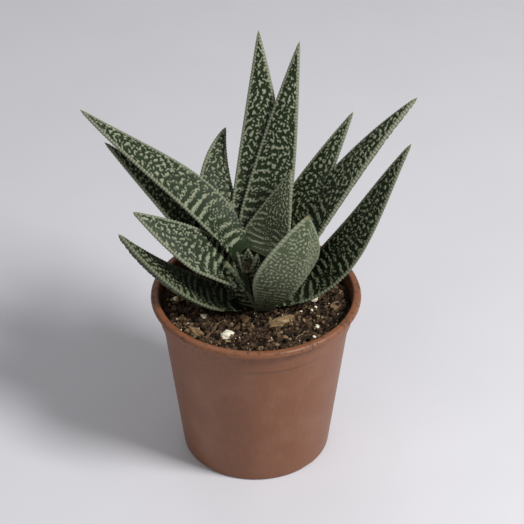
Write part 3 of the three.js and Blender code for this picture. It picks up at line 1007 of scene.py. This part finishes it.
@dataclass
class Soil:
    """The potting soil: a closed body with a lumpy top, strewn with crumbs and fibres.

    inside is the radius and height of the body's corners up the pot's inside, 0.3 mm clear of its wall.
    """

    seed: int = 7
    rings: int = 110
    sides: int = 260
    edge: float = 46.8
    inside: Sequence[tuple[float, ...]] = ((13.1, 1.3), (14.9, 3.8), (36.4, 3.8), (45.5, 76.6), (46.8, 79.4))
    sheet: float = 110.0
    clod_spacing: float = 6.0
    clod_relief: float = 0.5
    grit_spacing: float = 2.2
    grit_relief: float = 0.28
    crumb_knobs: float = 0.16
    crumb_tilt: float = 24.0
    wall_calm: float = 2.5
    crumb_margin: float = 1.5
    crumb_fineness: float = 2.5
    fibre_count: int = 70
    fibre_points: int = 7
    fibre_radius: float = 0.16
    fibre_reach: tuple[float, float] = (3.0, 10.0)
    fibre_bend: float = 0.9
    finish: Crumbly = PEAT

    def __post_init__(self) -> None:
        """Draw the two waves of the fine relief."""
        rng = np.random.default_rng(self.seed)
        size = (self.sheet, self.sheet)
        self.clods = wave_field(rng, size, self.clod_spacing, step=0.5, band=0.6)
        self.grit = wave_field(rng, size, self.grit_spacing, step=0.3, band=0.5)

    def waves(self, x: Array, y: Array) -> tuple[Array, Array]:
        """The clods' and the grit's wave at places in mm, each with a spread of one."""
        p, q = x + self.sheet / 2, y + self.sheet / 2
        return self.clods.at(p, q), self.grit.at(p, q)

    def height(self, x: Array, y: Array) -> Array:
        """Give the height of the soil: the solid's broad lumps, plus clods and grit that calm by the wall.

        Args:
            x: places in mm.
            y: places in mm.

        Returns:
            Heights in mm.
        """
        calm = smooth((self.edge - np.hypot(x, y)) / self.wall_calm)
        clods, grit = self.waves(x, y)
        relief = self.clod_relief * clods + self.grit_relief * grit
        return soil_height(x, y) + relief * (0.3 + 0.7 * calm)

    def body(self) -> Skin:
        """Make rings up the pot's inside, then rings of shrinking radius over the top.

        Returns:
            The closed skin with its tint, darker in the hollows of the relief: painted shade.
        """
        angle = angles(self.sides)
        inside = np.array(self.inside)
        over = self.edge * np.linspace(1, 1 / self.rings, self.rings)
        radii = np.concatenate([inside[:, 0], over])[:, None]
        x, y = radii * np.cos(angle), radii * np.sin(angle)
        z = self.height(x, y)
        z[: len(inside)] = inside[:, 1:]
        clods, grit = self.waves(x, y)
        top = self.height(np.zeros(1), np.zeros(1))[0]
        poles = [np.array([0, 0, height]) for height in (inside[0, 1], top)]
        # The tint follows the relief, so its hollows are painted darker as shade and its rises paler.
        return closed_skin(xyz(x, y, z), poles, {"tint": 0.36 + 0.1 * clods + 0.08 * grit})

    def crumbs(self, kind: Scatter, rng: np.random.Generator) -> Skin:
        """Strew one kind of crumb.

        Each crumb is the same ball of 32 faces with its corners pushed in and out at random, scaled along its
        three axes, turned at random and set on the soil's top, sunk by a share of its size.

        Args:
            kind: what to strew.
            rng: the seeded source of the draws.

        Returns:
            All crumbs as one skin of closed bodies.
        """
        ball, faces = octa_ball()
        radius = (self.edge - self.crumb_margin) * np.sqrt(rng.uniform(0.001, 1, kind.count))
        turn = rng.uniform(0, FULL_TURN, kind.count)
        x, y = radius * np.cos(turn), radius * np.sin(turn)
        share = rng.uniform(0, 1, kind.count) ** self.crumb_fineness
        length = kind.least + (kind.most - kind.least) * share
        slim = 1 + (kind.stretch - 1) * rng.uniform(0, 1, kind.count)
        size = xyz(length, length / slim, length / slim * kind.flat) / 2
        push = 1 + rng.normal(0, self.crumb_knobs, (kind.count, len(ball), 1))
        heading = rng.uniform(0, 360, (kind.count, 1))
        tilt = rng.normal(0, self.crumb_tilt, (kind.count, 1))
        bits = rotated(rotated(ball * push * size[:, None], ACROSS, tilt), UP, heading)
        lift = self.height(x, y) + size[:, 2] * (0.8 - kind.sink)
        bits = bits + xyz(x, y, lift)[:, None]
        order = (np.arange(kind.count) * len(ball))[:, None, None] + faces
        shade = rng.uniform(*kind.tint, (kind.count, 1)) + rng.normal(0, 0.03, (kind.count, len(ball)))
        return Skin(bits.reshape(-1, 3), [order.reshape(-1, 3)], {"tint": shade.ravel()})

    def fibres(self) -> Skin:
        """Lay thin root and peat fibres on the soil.

        Each is a three-sided tube round an arc in plan that follows the soil's height a little above it.

        Returns:
            All fibres as one skin of closed bodies.
        """
        rng = np.random.default_rng(self.seed + 5)
        count = self.fibre_count
        start = rng.uniform(-1, 1, (count, 2)) * (self.edge * 0.62)
        heading = rng.uniform(0, FULL_TURN, count)
        bend = rng.normal(0, self.fibre_bend, count)
        reach = rng.uniform(*self.fibre_reach, count)
        u = np.linspace(0, 1, self.fibre_points)
        angle = heading[:, None] + bend[:, None] * u
        x = start[:, :1] + reach[:, None] * u * np.cos(angle)
        y = start[:, 1:] + reach[:, None] * u * np.sin(angle)
        z = self.height(x, y) + 0.5 + 0.7 * np.sin(np.pi * u) * rng.uniform(0, 1, (count, 1))
        threads, over = xyz(x, y, z), xyz(-np.sin(angle), np.cos(angle), 0.0)
        around = angles(3)[:, None]
        strands = []
        for thread, aside in zip(threads, over):
            spin = np.cos(around) * aside[:, None] + np.sin(around) * UP
            rings = thread[:, None] + self.fibre_radius * spin
            tint = np.full(rings.shape[:2], rng.uniform(0.3, 1.0))
            strands.append(closed_skin(rings, (thread[0], thread[-1]), {"tint": tint}))
        return gathered(strands)

    def build(self) -> None:
        """Make the soil, its crumbs and its fibres."""
        piece_from("soil_body", self.body(), self.finish.material(), ("soil",))
        for k, kind in enumerate(SCATTERS):
            rng = np.random.default_rng(self.seed + 10 + k)
            piece_from(kind.name, self.crumbs(kind, rng), kind.finish.material())
        piece_from("root_fibres", self.fibres(), BARK.material())


def octa_ball() -> tuple[Array, Array]:
    """Cut each face of an octahedron in four and push the new corners out to the ball.

    The new corners are the middles of the edges, in the order in which the faces first meet them.

    Returns:
        Corners and the 32 outward triangles of the unit ball.
    """
    corners = np.kron(np.eye(3), [[1.0], [-1.0]])
    sides = [
        (x, y + 2, z + 4) if (x + y + z) % 2 == 0 else (y + 2, x, z + 4) for x, y, z in np.ndindex(2, 2, 2)
    ]
    a, b, c = np.array(sides).T
    edges = np.sort(np.stack([a, b, b, c, c, a], axis=1).reshape(-1, 2), axis=1)
    pairs, first, back = np.unique(edges, axis=0, return_index=True, return_inverse=True)
    order = np.argsort(first)
    ball = np.concatenate([corners, unit(corners[pairs[order]].sum(axis=1))])
    ab, bc, ca = (len(corners) + np.argsort(order)[back.ravel()]).reshape(-1, 3).T
    quarters = [xyz(a, ab, ca), xyz(b, bc, ab), xyz(c, ca, bc), xyz(ab, bc, ca)]
    return ball, np.stack(quarters, axis=1).reshape(-1, 3)


# Granules and chips


@dataclass(frozen=True)
class Lump:
    """A granule or chip that has its own solid: its place, size in mm and turn in degrees."""

    node: str
    matter: Matter
    at: tuple[float, float]
    size: tuple[float, float, float]
    turn: float


LUMPS: tuple[Lump, ...] = (
    Lump("perlite_1", Matter.PERLITE, (-14, -28), (7, 5, 4.2), 20),
    Lump("perlite_2", Matter.PERLITE, (29, 5), (8, 6.5, 6.5), 70),
    Lump("perlite_3", Matter.PERLITE, (-26, -13), (4, 3, 2.6), 10),
    Lump("perlite_4", Matter.PERLITE, (-40, 1), (3.6, 3, 2.6), 50),
    Lump("perlite_5", Matter.PERLITE, (30, -20), (3.2, 2.6, 2.4), 130),
    Lump("perlite_6", Matter.PERLITE, (2, 38), (5, 4, 3.6), 30),
    Lump("bark_chip_1", Matter.BARK, (12, -17), (15, 5.5, 3.6), 32),
    Lump("bark_chip_2", Matter.BARK, (-30, -25), (9, 4.5, 3.2), -38),
    Lump("bark_chip_3", Matter.BARK, (39, -4), (8, 4, 3), 64),
    Lump("bark_chip_4", Matter.BARK, (-24, 35), (11, 5, 3.4), 15),
)


@dataclass
class Litter:
    """The larger perlite granules and bark chips, each a knobbly or split lump over its solid's form."""

    seed: int = 90
    rows: int = 34
    columns: int = 52
    wave_height: float = 0.16
    knob_height: float = 0.1
    strand_height: float = 0.05
    risen: float = 0.12

    def skin(self, lump: Lump, seed: int) -> Skin:
        """Work out one lump's skin.

        A ball on a grid of latitude and turn is pushed in and out by the solid's wave and by seeded round
        knobs, scaled to the lump's size, turned and set half sunk. A chip's knobs and an added wave run along
        its length, which splits it into strands.

        Args:
            lump: the lump.
            seed: its seed.

        Returns:
            The closed skin with its tint.
        """
        layered = lump.matter is Matter.BARK
        rng = np.random.default_rng(seed)
        rise = np.linspace(0, np.pi, self.rows + 2)[1:-1][:, None]
        turn = angles(self.columns)
        ball = xyz(np.cos(rise), np.sin(rise) * np.cos(turn), np.sin(rise) * np.sin(turn))
        x, y, z = ball[..., 0], ball[..., 1], ball[..., 2]
        wave = self.wave_height * np.sin(5.1 * x + 3.7 * y + lump.at[0]) * np.cos(4.3 * z + lump.at[1])
        spots = rng.normal(0, 1, (26 if layered else 60, 3)) * (np.array([0.35, 1, 1]) if layered else 1)
        apart = np.sum((ball[..., None, :] - unit(spots)) ** 2, axis=-1)
        signs = rng.uniform(-1, 1, len(spots))
        knobs = np.sum(np.exp(-apart / (0.05 if layered else 0.03)) * signs, axis=-1)
        strands = np.sin(9 * np.arctan2(z, y) + 1.5 * x) * self.strand_height if layered else 0.0
        bits = ball * (1 + wave + self.knob_height * knobs + strands)[..., None] * np.array(lump.size) / 2
        level = soil_height(*lump.at) + lump.size[2] * self.risen
        bits = rotated(bits, UP, lump.turn) + np.array([*lump.at, level])
        return closed_skin(bits, values={"tint": np.clip(0.62 + 0.35 * knobs, 0.1, 1.0)})

    def build(self) -> None:
        """Make each granule and chip."""
        finishes = {Matter.PERLITE: PERLITE.material(), Matter.BARK: BARK.material()}
        for k, lump in enumerate(LUMPS):
            skin = self.skin(lump, self.seed + k)
            piece_from(lump.node + "_grain", skin, finishes[lump.matter], (lump.node,))


# The stem


@dataclass
class Stem:
    """The short stem under the rosette: corky, ringed by leaf scars with the dry bases of lost leaves."""

    scar_step: float = 2.6
    scar_height: float = 0.7
    roughness: float = 0.035
    stations: int = 120
    sides: int = 96
    seed: int = 23

    def skin(self) -> Skin:
        """Turn the stem.

        Its radius narrows by two fifths to the top, stands out in rounded rings one scar step apart, and
        strays with seeded noise. Below the soil it tapers to the root crown.

        Returns:
            The closed skin with its tint.
        """
        z = np.linspace(SOIL_LEVEL - ROOT_DEPTH, STEM_TOP + self.scar_step, self.stations)
        above = smooth((z - SOIL_LEVEL) / (STEM_TOP - SOIL_LEVEL))
        below = smooth((z - SOIL_LEVEL + ROOT_DEPTH) / (ROOT_DEPTH - 3))
        radius = STEM_RADIUS * (0.35 + 0.65 * below) * (1 - 0.4 * above)
        rings = self.scar_height * np.abs(np.cos(np.pi * (z - SOIL_LEVEL + 0.5) / self.scar_step)) ** 3
        closing = np.sqrt(smooth((z[-1] - z) / 2.5 + 0.02))
        radius = (radius + rings * smooth((z - SOIL_LEVEL + 2) / 2)) * closing
        turn = angles(self.sides)
        rough = wave_field(np.random.default_rng(self.seed), (60, 60), 3.0, band=0.6)
        noise = rough.at(z[:, None], turn[None, :] * STEM_RADIUS)
        reach = radius[:, None] * (1 + self.roughness * noise)
        x, y = ROSETTE_CENTRE
        corners = xyz(x + reach * np.cos(turn), y + reach * np.sin(turn), z[:, None])
        tint = np.clip(0.35 + 0.12 * noise + 0.35 * (rings / self.scar_height)[:, None], 0, 1)
        return closed_skin(corners, [np.array([x, y, z[k]]) for k in (0, -1)], {"tint": tint})

    def build(self) -> None:
        """Make the stem."""
        piece_from("stem_bark", self.skin(), DRY_STEM.material(), ("stem",))


# The studio


@dataclass(frozen=True)
class Lamp:
    """A square soft light that faces the plant: where it hangs in degrees, watts, and its measures in m."""

    name: str
    azimuth: float
    elevation: float
    watts: float
    side: float
    away: float
    aim_height: float = 0.1

    def hang(self) -> None:
        """Hang the light so far away from the point that it is aimed at."""
        data = bpy.data.lights.new(self.name, "AREA")
        data.energy, data.size = self.watts, self.side
        a, e = np.radians(self.azimuth), np.radians(self.elevation)
        back = Vector((np.cos(a) * np.cos(e), np.sin(a) * np.cos(e), np.sin(e)))
        lamp = placed(self.name, data)
        lamp.location = Vector((0, 0, self.aim_height)) + back * self.away
        lamp.rotation_euler = (-back).to_track_quat("-Z", "Y").to_euler()


@dataclass
class Studio:
    """A plain pale floor, one broad soft light from the right, weak fill, and the camera."""

    elevation: float = 35.3
    distance: float = 1100.0
    target: tuple[float, float, float] = (3.0, 12.0, 101.0)
    frame_mm: float = 262.0
    sensor_mm: float = 36.0
    floor_half: float = 6000.0
    floor_colours: tuple[str, str] = ("#c9c8cc", "#cfced2")
    cloud_mm: float = 60.0
    sky_colour: str = "#e4e5e8"
    sky_strength: float = 0.36
    lamps: tuple[Lamp, ...] = (
        Lamp("key", -29, 45, 17, 0.35, 1.2),
        Lamp("fill", -130, 40, 3, 1.2, 1.5),
        Lamp("back", 100, 55, 2.5, 0.8, 1.5),
    )

    def camera(self) -> None:
        """Aim the camera down at the photograph's angle from the front, wide enough for the whole object."""
        aim = np.array(self.target)
        tilt = np.radians(self.elevation)
        eye = aim + self.distance * np.array([0.0, -np.cos(tilt), np.sin(tilt)])
        data = bpy.data.cameras.new("camera")
        data.sensor_width = self.sensor_mm
        data.lens = self.sensor_mm * self.distance / self.frame_mm
        data.clip_start, data.clip_end = 0.05, 20.0
        camera = placed("camera", data)
        camera.location = eye * MM
        camera.rotation_euler = Vector((aim - eye) * MM).to_track_quat("-Z", "Y").to_euler()
        bpy.context.scene.camera = camera

    def floor(self) -> None:
        """Lay the floor: a large flat square of matt paper, which has no gloss and is faintly cloudy."""
        coat = Coat("matt_paper_floor")
        cloud = coat.add("TexNoise", {"Vector": coat.place, "Scale": per_metre(self.cloud_mm), "Detail": 3.0})
        dark, light = self.floor_colours
        colour = coat.add("MixRGB", {"Fac": cloud, "Color1": dark, "Color2": light})
        mesh = bpy.data.meshes.new("floor")
        corners = self.floor_half * MM * np.array([[-1, -1, 0], [1, -1, 0], [1, 1, 0], [-1, 1, 0]])
        mesh.from_pydata(corners.tolist(), [], [(0, 1, 2, 3)])
        mesh.materials.append(coat.finished({"Base Color": colour, "Roughness": 0.85}))
        placed("floor", mesh)

    def build(self) -> None:
        """Set the camera, floor, lights and sky."""
        self.camera()
        self.floor()
        for lamp in self.lamps:
            lamp.hang()
        world = bpy.data.worlds.new("sky")
        world.use_nodes = True
        sky = world.node_tree.nodes["Background"]
        sky.inputs["Color"].default_value = linear(self.sky_colour)
        sky.inputs["Strength"].default_value = self.sky_strength
        bpy.context.scene.world = world
        bpy.context.scene.view_settings.view_transform = "Standard"


def main() -> None:
    """Build the studio and every sub-assembly in order."""
    logging.basicConfig(level=logging.INFO, format="%(name)s %(message)s")
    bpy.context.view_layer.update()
    for part in (Studio(), NurseryPot(), Soil(), Litter(), Stem(), Rosette()):
        part.build()


if __name__ == "__main__":
    main()
